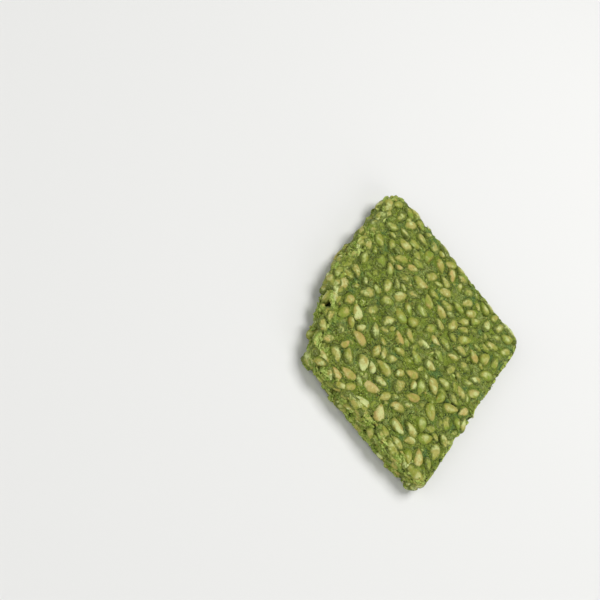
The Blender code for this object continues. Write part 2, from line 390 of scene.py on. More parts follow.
def draw_sizes(draw, count):
    """Lengths and widths of the seeds, the longest first."""
    lengths = sorted((draw.uniform(SEED_SHORTEST, SEED_LONGEST) for _ in range(count)), reverse=True)
    return [(length, length * draw.uniform(*SEED_WIDTH_SHARE)) for length in lengths]


def room_for(bar, bars, patches):
    """How clear a seed would be of the edge, the bare patches and the seeds placed before it."""
    ends = (bar[0] + bar[1], bar[0] - bar[1])
    room = min(depth_inside(end) for end in ends) - bar[2] - TOP_INSET - FACE_MARGIN + SEED_GAP
    for x, y, radius in patches:
        room = min(room, (Vector((x, y)) - bar[0]).length - radius - bar[2] + SEED_GAP)
    for other in bars:
        if room <= SEED_GAP:
            break
        room = min(room, span_gap(bar, other))
    return room


def seed_bar(place, angle, length, width):
    """A seed seen from above as a rounded bar: middle, half axis, radius."""
    axis = 0.5 * (length - width) * Vector((math.cos(angle), math.sin(angle)))
    return (place, axis, 0.5 * width)


def random_place(draw):
    """A random point of the outline's box."""
    xs = [corner[0] for corner in OUTLINE]
    ys = [corner[1] for corner in OUTLINE]
    return Vector((draw.uniform(min(xs), max(xs)), draw.uniform(min(ys), max(ys))))


def scatter_on_face(draw, count, patches):
    """Places of the seeds on a face, each the clearest of a few free ones."""
    seeds = []
    bars = []
    for length, width in draw_sizes(draw, count):
        choices = []
        for _ in range(SEED_TRIES):
            place = random_place(draw)
            angle = draw.uniform(0, 2 * math.pi)
            bar = seed_bar(place, angle, length, width)
            room = room_for(bar, bars, patches)
            if room > SEED_GAP:
                choices.append((room, bar, angle))
            if len(choices) == SEED_CHOICES:
                break
        if choices:
            _, bar, angle = max(choices, key=lambda choice: choice[0])
            bars.append(bar)
            seeds.append((bar[0], angle, length, width))
    return seeds


@functools.cache
def top_places():
    """Places of the solid's seeds on the upper face."""
    return scatter_on_face(random.Random(TOP_DRAW), TOP_SEEDS, BARE_PATCHES)


@functools.cache
def underside_places():
    """Places of the solid's seeds on the underside."""
    return scatter_on_face(random.Random(UNDERSIDE_DRAW), UNDERSIDE_SEEDS, ())


# Smaller seeds that lie deeper: how they are drawn.
SUNK_DRAW = 53
SUNK_TRIES = 40
SUNK_LENGTHS = (0.0018, 0.0032)
SUNK_OVERLAP = 0.00060


@functools.cache
def sunk_places(count):
    """Places of the smaller seeds that lie deeper, in the gaps between the seeds on top."""
    draw = random.Random(SUNK_DRAW)
    bars = [seed_bar(*seed) for seed in top_places()]
    seeds = []
    for _ in range(count):
        length = draw.uniform(*SUNK_LENGTHS)
        width = length * draw.uniform(*SEED_WIDTH_SHARE)
        best_room = -SUNK_OVERLAP
        best = None
        for _ in range(SUNK_TRIES):
            place = random_place(draw)
            angle = draw.uniform(0, 2 * math.pi)
            bar = seed_bar(place, angle, length, width)
            if depth_inside(place) < TOP_INSET + 0.5 * width:
                continue
            room = min(span_gap(bar, other) for other in bars)
            if room > best_room:
                best_room = room
                best = (place, angle, length, width)
        if best:
            bars.append(seed_bar(*best))
            seeds.append(best)
    return seeds


def add_node(tree, kind, inputs=None, **settings):
    """A shader node; each input is given another node's output or a plain value."""
    node = tree.nodes.new("ShaderNode" + kind)
    for name, value in settings.items():
        setattr(node, name, value)
    for key, value in (inputs or {}).items():
        if isinstance(value, bpy.types.NodeSocket):
            tree.links.new(value, node.inputs[key])
        else:
            node.inputs[key].default_value = value
    return node


def grain(tree, size, detail=2.0, roughness=0.5, stretch=None, offset=0.0):
    """Noise whose features are about as large as size, in metres, over the object's coordinates."""
    place = add_node(tree, "TexCoord").outputs["Object"]
    inputs = {"Vector": place, "Location": (offset, offset, offset), "Scale": stretch or (1, 1, 1)}
    place = add_node(tree, "Mapping", inputs).outputs["Vector"]
    inputs = {"Vector": place, "Scale": 1 / size, "Detail": detail, "Roughness": roughness}
    return add_node(tree, "TexNoise", inputs).outputs["Fac"]


def remap(tree, value, low, high, to_low=0.0, to_high=1.0, smooth=True):
    """A value moved from one range to another and held inside it."""
    inputs = {"Value": value, "From Min": low, "From Max": high, "To Min": to_low, "To Max": to_high}
    kind = "SMOOTHSTEP" if smooth else "LINEAR"
    return add_node(tree, "MapRange", inputs, interpolation_type=kind, clamp=True).outputs["Result"]


def calculate(tree, operation, first, second):
    """One sum of two values."""
    return add_node(tree, "Math", {0: first, 1: second}, operation=operation).outputs["Value"]


def varied(tree, value, pattern, reach):
    """A value that a noise pattern moves up and down, by as much as reach."""
    return calculate(tree, "ADD", value, remap(tree, pattern, 0.3, 0.7, -reach, reach))


def faded(tree, strength, value, *limits):
    """A strength that another value, moved to other limits, makes less."""
    return calculate(tree, "MULTIPLY", strength, remap(tree, value, *limits))


def mix_colours(tree, factor, first, second):
    """One colour over another."""
    node = add_node(tree, "Mix", data_type="RGBA")
    for key, value in {"Factor": factor, "A": first, "B": second}.items():
        socket = next(s for s in node.inputs if s.name == key and s.enabled)
        if isinstance(value, bpy.types.NodeSocket):
            tree.links.new(value, socket)
        else:
            socket.default_value = (*value, 1.0)
    return next(s for s in node.outputs if s.enabled)


def coloured(tree, base, colour, value, *limits):
    """A colour laid over another as far as a value, moved to other limits, says."""
    return mix_colours(tree, remap(tree, value, *limits), base, colour)


def attribute(tree, name):
    """A number stored on the mesh's points."""
    return add_node(tree, "Attribute", attribute_name=name).outputs["Fac"]


def bump(tree, height, distance, below=None):
    """Small relief, of a height times a distance in metres, over another one."""
    inputs = {"Height": height, "Distance": distance}
    if below is not None:
        inputs["Normal"] = below
    return add_node(tree, "Bump", inputs).outputs["Normal"]


def new_material(name, roughness, specular):
    """A material, its node tree and its shader."""
    material = bpy.data.materials.new(name)
    material.use_nodes = True
    shader = material.node_tree.nodes["Principled BSDF"]
    shader.inputs["Roughness"].default_value = roughness
    shader.inputs["Specular IOR Level"].default_value = specular
    return material, material.node_tree, shader


def link_shader(tree, shader, colour, normal):
    """Give the shader its colour and its small relief."""
    tree.links.new(colour, shader.inputs["Base Color"])
    tree.links.new(normal, shader.inputs["Normal"])


# Sizes of the patterns, in metres.
HUE_SIZE = 0.00050
SIDE_HUE_SIZE = 0.0010
HUE_CLOUD = 0.0034
PASTE_GRAIN = 0.00028
PASTE_MOTTLE = 0.0010
PASTE_CLOUD = 0.0050
PASTE_THIN = 0.0016
SPECK_SIZE = 0.00027
GLAZE_SIZE = 0.00042
LAYER_STREAK = 0.0009
STREAK_STRETCH = (1, 1, 3.6)
SEED_STREAK = 0.00035
SEED_PATCH = 0.0010
SEED_BLOTCH = 0.0016


def blotched(tree, base, size, strength, warm, fresh):
    """A colour with warmer blotches and, elsewhere, fresher ones."""
    for colour, offset in ((warm, 6.1), (fresh, 7.3)):
        base = coloured(tree, base, colour, grain(tree, size, offset=offset), 0.50, 0.68, 0.0, strength)
    return base


@functools.cache
def paste_material():
    """Matcha paste: mottled dark green, brighter on the cut sides and where it climbs the seeds, with painted
    shade in its seams and side hollows and painted highlights on side ridges.
    """
    colours = bpy.context.scene.cracker_paste
    material, tree, shader = new_material("matcha_paste", 0.65, 0.25)
    fine = grain(tree, PASTE_GRAIN, 4.0, 0.7)
    mottle = grain(tree, PASTE_MOTTLE, 4.0, 0.65)
    powder = remap(tree, fine, 0.32, 0.68, -1.05, 1.05, smooth=False)
    shade = varied(tree, remap(tree, mottle, 0.30, 0.70), grain(tree, PASTE_CLOUD, offset=0.3), 0.3)
    shade = calculate(tree, "ADD", shade, powder)
    face = coloured(tree, colours.dark, colours.middle, shade, -0.1, 0.60)
    thin = grain(tree, PASTE_THIN, 3.0, 0.6, offset=4.1)
    face = coloured(tree, face, colours.climb, thin, 0.50, 0.68, 0.0, 0.60)
    face = coloured(tree, face, colours.light, shade, 0.60, 1.40)
    face = blotched(tree, face, HUE_SIZE, 0.50, colours.olive, colours.leaf)
    face = blotched(tree, face, HUE_CLOUD, 0.65, colours.climb, colours.leaf)
    climb = calculate(tree, "ADD", attribute(tree, "halo"), remap(tree, mottle, 0.3, 0.7, -0.45, 0.30))
    climb = calculate(tree, "ADD", climb, powder)
    face = coloured(tree, face, colours.climb, climb, 0.15, 1.1, 0.0, 0.75)
    # Painted shade in the seam where the paste meets each seed, broken up by noise.
    partly = remap(tree, grain(tree, PASTE_THIN, 1.0, offset=9.4), 0.45, 0.62, 0.15, 0.90)
    painted_seam_shade = faded(tree, partly, attribute(tree, "seam_shade"), 0.30, 0.90)
    face = mix_colours(tree, painted_seam_shade, face, colours.side_shade)
    streak = grain(tree, LAYER_STREAK, 4.0, 0.65, stretch=STREAK_STRETCH, offset=0.9)
    # The cut sides: painted shade in their hollows and a painted highlight on their ridges, following the
    # relief.
    relief = varied(tree, attribute(tree, "relief"), streak, 0.60)
    relief = calculate(tree, "ADD", relief, calculate(tree, "MULTIPLY", powder, 0.35))
    side = coloured(tree, colours.side_shade, colours.side_light, relief, 0.02, 0.62)
    side = coloured(tree, side, colours.side_highlight, relief, 0.58, 1.15)
    side = blotched(tree, side, SIDE_HUE_SIZE, 0.40, colours.olive, colours.leaf)
    edge = varied(tree, attribute(tree, "side"), mottle, 0.30)
    base = coloured(tree, face, side, edge, 0.15, 0.75)
    # Pale specks that are partly painted glints, and dark specks that are partly painted shade of pores.
    glint_and_pore_speck = grain(tree, SPECK_SIZE, 1.0, offset=0.7)
    base = coloured(tree, base, colours.side_highlight, glint_and_pore_speck, 0.62, 0.72, 0.0, 0.7)
    glint_and_pore_speck = grain(tree, SPECK_SIZE, 1.0, offset=1.9)
    base = coloured(tree, base, colours.side_shade, glint_and_pore_speck, 0.63, 0.72, 0.0, 0.85)
    glaze = remap(tree, grain(tree, GLAZE_SIZE, 1.0, offset=5.2), 0.57, 0.69)
    tree.links.new(remap(tree, glaze, 0.0, 1.0, 0.74, 0.16), shader.inputs["Roughness"])
    link_shader(tree, shader, base, bump(tree, mottle, 0.00036, bump(tree, fine, 0.00050)))
    return material


@functools.cache
def seed_material():
    """Sesame hull: green to tan from seed to seed, filmed with paste, with a painted crown highlight, partly
    painted shade on its flanks and a dark waterline of painted shade.
    """
    colours = bpy.context.scene.cracker_seeds
    material, tree, shader = new_material("sesame_hull", 0.42, 0.3)
    patch = grain(tree, SEED_PATCH, 3.0, 0.6, offset=0.2)
    streak = grain(tree, SEED_STREAK, 4.0, 0.7, offset=0.5)
    drift = grain(tree, SEED_BLOTCH, 1.0, offset=3.3)
    dome = attribute(tree, "dome")
    tone = varied(tree, varied(tree, attribute(tree, "tone"), patch, 0.14), drift, 0.30)
    hull = coloured(tree, colours.green, colours.khaki, tone, 0.0, 0.35)
    hull = coloured(tree, hull, colours.tan, tone, 0.35, 0.70)
    hull = coloured(tree, hull, colours.cream, tone, 0.78, 1.0)
    peach = faded(tree, attribute(tree, "peach"), drift, 0.30, 0.60, 0.35, 1.0)
    hull = mix_colours(tree, peach, hull, colours.peach)
    blotch = grain(tree, SEED_BLOTCH, offset=1.3)
    hull = coloured(tree, hull, colours.blush, blotch, 0.56, 0.76, 0.0, 0.4)
    # A painted highlight: cream on each seed's crown, in patches.
    crown_highlight = remap(tree, grain(tree, SEED_BLOTCH, offset=2.1), 0.46, 0.66, 0.0, 0.8)
    hull = mix_colours(tree, faded(tree, crown_highlight, dome, 0.60, 0.95), hull, colours.cream)
    partly = remap(tree, grain(tree, SEED_BLOTCH, 1.0, offset=9.4), 0.40, 0.60, 0.30, 1.0)
    # Darker flanks: partly painted shade, partly the olive colour of the hull.
    flank_shade = faded(tree, partly, varied(tree, dome, patch, 0.16), 0.18, 0.60, 0.85, 0.0)
    hull = mix_colours(tree, flank_shade, hull, colours.edge)
    toast = faded(tree, attribute(tree, "toast"), patch, 0.35, 0.6, 0.4, 1.0)
    hull = mix_colours(tree, toast, hull, colours.toast)
    hull = coloured(tree, hull, colours.edge, streak, 0.50, 0.72, 0.0, 0.45)
    hull = coloured(tree, hull, colours.cream, streak, 0.48, 0.30, 0.0, 0.35)
    film = varied(tree, attribute(tree, "coat"), patch, 0.40)
    film = calculate(tree, "SUBTRACT", film, remap(tree, dome, 0.45, 0.95, 0.30, 1.10))
    film = varied(tree, film, streak, 0.20)
    hull = coloured(tree, hull, colours.coat, film, -0.45, 0.20, 0.0, 0.80)
    crust = remap(tree, film, 0.08, 0.80, 0.0, 0.85)
    dust = grain(tree, PASTE_GRAIN, 3.0, 0.7, offset=8.2)
    grit = coloured(tree, colours.coat, colours.waterline, dust, 0.48, 0.32, 0.0, 0.40)
    grit = coloured(tree, grit, colours.cream, dust, 0.46, 0.62, 0.0, 0.75)
    hull = mix_colours(tree, crust, hull, grit)
    rise = varied(tree, attribute(tree, "rise"), streak, 0.08)
    hull = coloured(tree, hull, colours.coat, rise, 0.10, 0.40, 0.7, 0.0)
    # A dark line of painted shade where the seed meets the paste, partly a brown edge.
    waterline = faded(tree, partly, rise, 0.0, 0.18, 1.0, 0.0)
    hull = mix_colours(tree, waterline, hull, colours.waterline)
    tree.links.new(remap(tree, patch, 0.3, 0.7, 0.34, 0.54), shader.inputs["Roughness"])
    normal = bump(tree, patch, 0.00018, bump(tree, streak, 0.00022))
    normal = bump(tree, calculate(tree, "MULTIPLY", dust, crust), 0.00040, normal)
    link_shader(tree, shader, hull, normal)
    return material


@functools.cache
def crumb_material():
    """Crumbs and flakes of paste, each with its own shade."""
    colours = bpy.context.scene.cracker_crumbs
    material, tree, shader = new_material("paste_crumb", 0.60, 0.2)
    mottle = grain(tree, SPECK_SIZE, 2.0, 0.6)
    shade = remap(tree, varied(tree, attribute(tree, "tone"), mottle, 0.38), 0.0, 1.0, smooth=False)
    base = mix_colours(tree, shade, colours.low, colours.high)
    base = blotched(tree, base, SIDE_HUE_SIZE, 0.65, colours.warm, colours.fresh)
    link_shader(tree, shader, base, bump(tree, mottle, 0.00006))
    return material


@functools.cache
def hull_material():
    """Scraps of pale seed hull."""
    colours = bpy.context.scene.cracker_crumbs
    material, tree, shader = new_material("hull_scrap", 0.45, 0.5)
    mottle = grain(tree, SPECK_SIZE, 2.0, 0.6)
    base = coloured(tree, colours.hull, colours.high, mottle, 0.40, 0.70, 0.0, 0.6)
    link_shader(tree, shader, base, bump(tree, mottle, 0.00004))
    return material


def begin_piece():
    """Leave edit mode and select nothing, so that an operator acts only on what it adds."""
    if bpy.context.object and bpy.context.object.mode != "OBJECT":
        bpy.ops.object.mode_set(mode="OBJECT")
    bpy.ops.object.select_all(action="DESELECT")


def finish_piece(piece, name, material):
    """Name a finished piece and give it its material and its body."""
    piece.name = name
    piece.data.name = name
    piece.data.materials.clear()
    piece.data.materials.append(material)
    piece.data.polygons.foreach_set("use_smooth", [True] * len(piece.data.polygons))
    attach(piece, BODY)


def store(mesh, name, values):
    """Keep a number for each point of a mesh."""
    layer = mesh.attributes.new(name, "FLOAT", "POINT")
    layer.data.foreach_set("value", np.asarray(values, np.float32))


def mesh_points(mesh):
    """Places of a mesh's points as an array."""
    points = np.empty(3 * len(mesh.vertices), np.float32)
    mesh.vertices.foreach_get("co", points)
    return points.reshape(-1, 3).astype(float)


def shape_template(add, turn=True, **sizes):
    """Points and faces of a primitive that is modelled once and copied many times."""
    begin_piece()
    add(radius=1, **sizes)
    model = bpy.context.object
    if turn:
        bpy.ops.object.mode_set(mode="EDIT")
        bpy.ops.mesh.select_all(action="SELECT")
        bpy.ops.transform.rotate(value=math.pi / 2, orient_axis="Y", center_override=(0, 0, 0))
        bpy.ops.object.mode_set(mode="OBJECT")
    points = mesh_points(model.data)
    faces = sorted(tuple(face.vertices) for face in model.data.polygons)
    bpy.data.objects.remove(model, do_unlink=True)
    return points, faces


def join_copies(name, faces, copies, material):
    """One piece from copies of a shape, held above the floor, each with its material's numbers."""
    forms, numbers = zip(*copies)
    count = len(forms[0])
    points = np.concatenate(forms)
    points[:, 2] = np.maximum(points[:, 2], 0.0)
    shifted = [tuple(i + count * index for i in face) for index in range(len(forms)) for face in faces]
    mesh = bpy.data.meshes.new(name)
    mesh.from_pydata(points.tolist(), [], shifted)
    for key in numbers[0]:
        store(mesh, key, np.concatenate([np.broadcast_to(each[key], count) for each in numbers]))
    piece = bpy.data.objects.new(name, mesh)
    bpy.context.scene.collection.objects.link(piece)
    finish_piece(piece, name, material)


def moved(points, matrix):
    """An array of points moved by a matrix."""
    matrix = np.array(matrix)
    return points @ matrix[:3, :3].T + matrix[:3, 3]


def turned(spot, *turns):
    """The matrix of a spot and of turns about the shape's own axes, one after another."""
    matrix = Matrix.Translation(spot)
    for axis, angle in turns:
        matrix = matrix @ Matrix.Rotation(angle, 4, axis)
    return matrix


def any_turn(draw):
    """A turn any way."""
    return Quaternion([draw.gauss(0, 1) for _ in range(4)]).normalized().to_matrix().to_4x4()


def heading_of(outward):
    """The angle about Z of the direction in which a side faces."""
    return math.atan2(outward.y, outward.x)


@functools.cache
def rim_tree():
    """The outline's points in a search tree, with the points themselves."""
    rim = outline_points(SHELL_SPACING)
    tree = KDTree(len(rim))
    for index, (place, _) in enumerate(rim):
        tree.insert((place.x, place.y, 0), index)
    tree.balance()
    return tree, rim


def nearest_rim(x, y):
    """The outline's point nearest to a place, with its outward normal."""
    tree, rim = rim_tree()
    return rim[tree.find((x, y, 0))[1]]


def rim_spot(place, outward, inset, lift):
    """A point of the upper face near its edge."""
    spot = wall_point(place, outward, SLAB_TOP, TOP_INSET + inset)
    spot.z = top_height(spot.x, spot.y) + lift
    return spot


def rim_places(draw, count, least):
    """Some places along the outline, with their outward direction and roughness, most where it is rough."""
    rim = outline_points(SHELL_SPACING)
    for _ in range(count):
        place, outward = draw.choice(rim)
        rough = roughness_of(outward)
        if draw.random() < least + rough:
            yield place, outward, rough


def add_shell():
    """The plain slab: the outline filled, drawn up, its edges bevelled, then meshed evenly."""
    begin_piece()
    rim = outline_points(SHELL_SPACING)
    bpy.ops.mesh.primitive_circle_add(vertices=len(rim), radius=1, fill_type="NGON")
    shell = bpy.context.object
    for vertex, (place, _) in zip(shell.data.vertices, rim):
        vertex.co = (place.x, place.y, SLAB_BOTTOM)
    bpy.ops.object.mode_set(mode="EDIT")
    bpy.ops.mesh.select_all(action="SELECT")
    rise = {"value": (0, 0, SLAB_TOP - SLAB_BOTTOM)}
    bpy.ops.mesh.extrude_region_move(TRANSFORM_OT_translate=rise)
    bpy.ops.mesh.select_all(action="SELECT")
    bpy.ops.mesh.normals_make_consistent(inside=False)
    bpy.ops.object.mode_set(mode="OBJECT")
    for edge in shell.data.edges:
        ends = [shell.data.vertices[i].co.z for i in edge.vertices]
        edge.select = abs(ends[0] - ends[1]) < SHELL_SPACING / 10
    bpy.ops.object.mode_set(mode="EDIT")
    bpy.ops.mesh.select_mode(type="EDGE")
    bpy.ops.mesh.bevel(offset=SHELL_BEVEL, segments=SHELL_BEVEL_STEPS, affect="EDGES")
    bpy.ops.object.mode_set(mode="OBJECT")
    even = shell.modifiers.new("even", "REMESH")
    even.mode = "VOXEL"
    even.voxel_size = SHELL_VOXEL
    bpy.ops.object.modifier_apply(modifier=even.name)
    return shell


def split_faces(shell, wanted):
    """Split each face whose middle is wanted into four."""
    bpy.ops.object.mode_set(mode="EDIT")
    bpy.ops.mesh.select_mode(type="FACE")
    bpy.ops.mesh.select_all(action="DESELECT")
    bpy.ops.object.mode_set(mode="OBJECT")
    for face in shell.data.polygons:
        face.select = wanted(face.center)
    bpy.ops.object.mode_set(mode="EDIT")
    bpy.ops.mesh.subdivide(number_cuts=1, smoothness=0)
    bpy.ops.object.mode_set(mode="OBJECT")


def seed_distance(points, seeds):
    """Distance from each point, seen from above, to the nearest seed's outline: below 0 inside."""
    nearest = np.full(len(points), SEED_LONGEST)
    for place, angle, length, width in seeds:
        offset = points[:, :2] - np.array(place)
        close = np.abs(offset).max(1) < length
        offset = offset[close]
        x = (offset[:, 0] * math.cos(angle) + offset[:, 1] * math.sin(angle)) / (0.5 * length)
        y = (offset[:, 1] * math.cos(angle) - offset[:, 0] * math.sin(angle)) / (0.5 * width)
        y = y / (1 - SEED_TAPER * np.clip(x, -1, 1))
        span = np.hypot(x, y) + 1e-6
        slope = np.hypot(x / (0.5 * length), y / (0.5 * width)) / span
        nearest[close] = np.minimum(nearest[close], (span - 1) / (slope + 1e-6))
    return nearest


# Relief of the paste: layers, crumbs and pits of its sides, and lumps and pores of its faces.
LAYER_RUN = 0.0026
LAYER_WARP = 0.9
LAYER_WARP_LENGTH = 0.0045
LEAF_FINER = 2.3
LEAF_THINNER = 2.1
LEAF_PATTERN = 5.0
LEAF_SHARE = 0.45
CRUMB_LENGTH = 0.00042
CRUMB_DEPTH = 0.00012
PIT_LENGTH = 0.0013
PIT_START = 0.13
PIT_PATTERN = Vector((17.0, 5.0, 9.0))
LUMP_LENGTH = 0.00085
FINE_LUMPS = 0.6
PORE_LENGTH = 0.0016
PORE_START = 0.58
PORE_DEPTH = 0.0010
FACE_PATTERN = Vector((3.0, 11.0, 7.0))
# Width of the painted shade in the seam round each seed.
SEAM_SHADE_REACH = 0.00022
MOSS_LENGTH = 0.0010
MOSS_DEPTH = 0.00034
MOSS_SUNK = 0.25


def creased(place):
    """Noise with sharp ridges, from a place in it."""
    return 0.5 - 2 * abs(noise.noise(place))


def side_relief(point, paste):
    """Relief of the cut side at a point: flaky layers, crumbs and pits, in metres outward."""
    x, y, _ = point
    level = point.z / paste.layer_height + LAYER_WARP * noise.noise(point / LAYER_WARP_LENGTH)
    leaf_level = LEAF_THINNER * level + LEAF_PATTERN
    leaf = Vector((LEAF_FINER * x / LAYER_RUN, LEAF_FINER * y / LAYER_RUN, leaf_level))
    layers = creased(Vector((x / LAYER_RUN, y / LAYER_RUN, level))) + LEAF_SHARE * creased(leaf)
    crumbs = noise.noise(point / CRUMB_LENGTH)
    pit = max(0.0, noise.noise(point / PIT_LENGTH + PIT_PATTERN) - PIT_START)
    return paste.layer_depth * layers + CRUMB_DEPTH * crumbs - paste.pit_depth * pit


def face_relief(point, paste):
    """Relief of a face at a point: small lumps and a few pores."""
    lumps = noise.noise(point / LUMP_LENGTH + FACE_PATTERN)
    fine = noise.noise(point / CRUMB_LENGTH + FACE_PATTERN)
    pore = max(0.0, noise.noise(point / PORE_LENGTH - FACE_PATTERN) - PORE_START)
    return paste.lump_height * (lumps + FINE_LUMPS * fine) - PORE_DEPTH * pore


def moss_relief(point):
    """Lumps of the crumbled edge of the top, in metres upward."""
    coarse = noise.noise(point / MOSS_LENGTH - FACE_PATTERN)
    fine = noise.noise(point / CRUMB_LENGTH - FACE_PATTERN)
    return MOSS_DEPTH * (coarse + FINE_LUMPS * abs(fine) - MOSS_SUNK)


# How the relief of the sides passes into that of the faces.
BAND_START = 0.0001
BAND_RAGGED = 0.45
CLEAN_SIDE_RELIEF = 0.35
FACE_RELIEF_LOST = 0.75
EDGE_BUMPS = 0.3
RELIEF_SPAN = 2.2
CLIMB_BELOW_TOP = 0.0008
CLIMB_FADE = 0.0005
SIDE_CLIMB_LOST = 0.5


def dress_shell(shell, paste, seeds):
    """Give the shell its waves, crags, layers and pores, and the paste that climbs the seeds."""
    points = mesh_points(shell.data)
    side = np.zeros(len(points))
    relief = np.zeros(len(points))
    for index, (x, y, z) in enumerate(points):
        place, outward = nearest_rim(x, y)
        depth = (place.x - x) * outward.x + (place.y - y) * outward.y
        share = (z - SLAB_BOTTOM) / (SLAB_TOP - SLAB_BOTTOM)
        level = (1 - share) * underside_height(x, y) + share * top_height(x, y)
        point = Vector((x, y, level))
        rough = roughness_of(outward)
        band = (1 - rough) * SIDE_BAND[0] + rough * SIDE_BAND[1]
        ragged = noise.noise(point / LUMP_LENGTH) + noise.noise(point / PORE_LENGTH)
        wall = float(smooth_step(1 - (depth - BAND_START) / band + BAND_RAGGED * ragged))
        fade = float(smooth_step(1 - depth / RELIEF_REACH))
        bumps = side_relief(point, paste)
        open_share = CLEAN_SIDE_RELIEF + (1 - CLEAN_SIDE_RELIEF) * rough
        push = fade * wall_push(place, outward, level) + wall * open_share * bumps
        lift = (1 - FACE_RELIEF_LOST * wall) * face_relief(point, paste)
        lift += wall * (EDGE_BUMPS * bumps + moss_relief(point))
        upward = 2 * share - 1
        points[index] = (
            x + outward.x * push,
            y + outward.y * push,
            level + upward * abs(upward) ** 3 * lift,
        )
        side[index] = wall
        relief[index] = 0.5 + bumps / (RELIEF_SPAN * paste.layer_depth)
    gap = seed_distance(points, seeds)
    halo = np.exp(-np.clip(gap, 0, None) / paste.meniscus_reach)
    top = smooth_step((points[:, 2] - SLAB_TOP + CLIMB_BELOW_TOP) / CLIMB_FADE)
    points[:, 2] += top * halo * paste.meniscus * (1 - SIDE_CLIMB_LOST * side)
    shell.data.vertices.foreach_set("co", points.astype(np.float32).ravel())
    store(shell.data, "side", side)
    store(shell.data, "relief", relief)
    store(shell.data, "halo", top * halo)
    # The mask of the painted shade in the seam round each seed.
    store(shell.data, "seam_shade", top * np.exp(-np.abs(gap) / SEAM_SHADE_REACH))
    shell.data.update()


EDGE_REACH = 1.2 * SHELL_BEVEL
ROUGH_ENOUGH = 0.3


class AddPaste(bpy.types.Operator):
    """Add the slab of matcha paste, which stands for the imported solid"""

    bl_idname = "cracker.add_paste"
    bl_label = "Add the Paste"

    def execute(self, context):
        def near_side(spot):
            return depth_inside(Vector(spot[:2])) < EDGE_REACH

        def near_rough_side(spot):
            _, outward = nearest_rim(spot[0], spot[1])
            return near_side(spot) and roughness_of(outward) > ROUGH_ENOUGH
        shell = add_shell()
        split_faces(shell, lambda spot: spot.z > 0.5 * (SLAB_BOTTOM + SLAB_TOP) or near_side(spot))
        split_faces(shell, near_rough_side)
        seeds = top_places() + sunk_places(context.scene.cracker_seeds.sunk_count)
        dress_shell(shell, context.scene.cracker_paste, seeds)
        finish_piece(shell, "paste", paste_material())
        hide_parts(NODE)
        return {"FINISHED"}


# How the seeds differ: their tones, films, toasted tips and pink tints, paler toward the front left.
SEED_FORM_DRAW = 71
SEED_TONES = (1.7, 1.9)
SEED_COATS = (1.2, 1.3)
TOAST_SHARE = 0.34
TOAST_STRENGTH = (0.35, 1.0)
TOAST_FROM = 0.35
TOAST_REACH = 0.5
PEACH_SHARE = 0.12
PEACH_STRENGTH = (0.2, 0.65)
PALE_TOWARD = (-0.45, -0.90)
PALE_FROM = 0.0050
PALE_REACH = 0.0065
PALE_GAIN = 0.22
PALE_BASE = -0.02


def seed_ball():
    """The round form that each seed is drawn from, its poles along X."""
    add = bpy.ops.mesh.primitive_uv_sphere_add
    return shape_template(add, segments=SEED_SEGMENTS, ring_count=SEED_RINGS)


def seed_copy(ball, draw, length, width, thickness, matrix):
    """One seed from the ball: tapered, bent a little and dented, then put in place."""
    x, y, z = ball.T
    taper = 1 - draw.uniform(*SEED_TAPERS) * x
    taper = taper * (1 - SEED_POINT * np.clip(x, 0, 1) ** 2)
    along = np.sin(SEED_DENT_WAVES[0] * x + draw.uniform(*WAVE_STARTS))
    across = np.cos(SEED_DENT_WAVES[1] * y + draw.uniform(*WAVE_STARTS))
    dents = 1 + SEED_DENT * along * across
    bend = draw.uniform(*SEED_BENDS) * (1 - 2 * x * x)
    form = np.stack((
        0.5 * SEED_GROW * length * x,
        0.5 * SEED_PLUMP * width * (y * taper * dents + bend),
        0.5 * thickness * np.sign(z) * np.abs(z) ** SEED_FLATTEN * taper ** 0.5 * dents,
    ), 1)
    return moved(form, matrix)


def seed_numbers(draw, ball, rise, tone_shift=0.0, coat_shift=0.0):
    """What the hull's material reads for one seed: its tone, its film, its toasted tip, its rise."""
    toasted = draw.random() < TOAST_SHARE
    side = draw.uniform(-math.pi, math.pi)
    toward = math.cos(side) * ball[:, 0] + math.sin(side) * ball[:, 1]
    burnt = smooth_step((toward - TOAST_FROM) / TOAST_REACH)
    return {
        "tone": draw.betavariate(*SEED_TONES) + tone_shift,
        "coat": draw.betavariate(*SEED_COATS) + coat_shift,
        "toast": burnt * (draw.uniform(*TOAST_STRENGTH) if toasted else 0.0),
        "peach": draw.uniform(*PEACH_STRENGTH) if draw.random() < PEACH_SHARE + tone_shift else 0.0,
        "rise": rise,
        "dome": np.clip(ball[:, 2], 0, 1),
    }


def paleness(place):
    """How much paler and cleaner a seed is: most along the front left side, as the photo shows."""
    toward = PALE_TOWARD[0] * place.x + PALE_TOWARD[1] * place.y
    return PALE_BASE + PALE_GAIN * float(smooth_step((toward - PALE_FROM) / PALE_REACH))


def rest_on_top(place, angle, sunk, seeds, draw):
    """Where a seed lies on the upper face: slid, turned and tilted a little."""
    x = place.x + draw.uniform(-seeds.shift, seeds.shift)
    y = place.y + draw.uniform(-seeds.shift, seeds.shift)
    tilt = seeds.tilt
    heading = angle + draw.gauss(0, tilt)
    tilts = (("X", draw.uniform(-tilt, tilt)), ("Y", draw.uniform(-tilt, tilt)))
    return turned((x, y, top_height(x, y) - sunk), ("Z", heading), *tilts)


def side_matrix(spot, outward, lean, roll):
    """Where a seed lies in the cut side, leaning with the layers."""
    right_angle = math.pi / 2
    return turned(spot, ("Z", heading_of(outward)), ("Y", right_angle - lean), ("Z", right_angle + roll))


def top_rise(copy, place, thickness):
    """How far each point of a seed stands out of the upper face, in halves of its thickness."""
    return 2 * (copy[:, 2] - top_height(place.x, place.y)) / thickness


TOP_SEED_SUNK = (-0.00008, 0.00014)


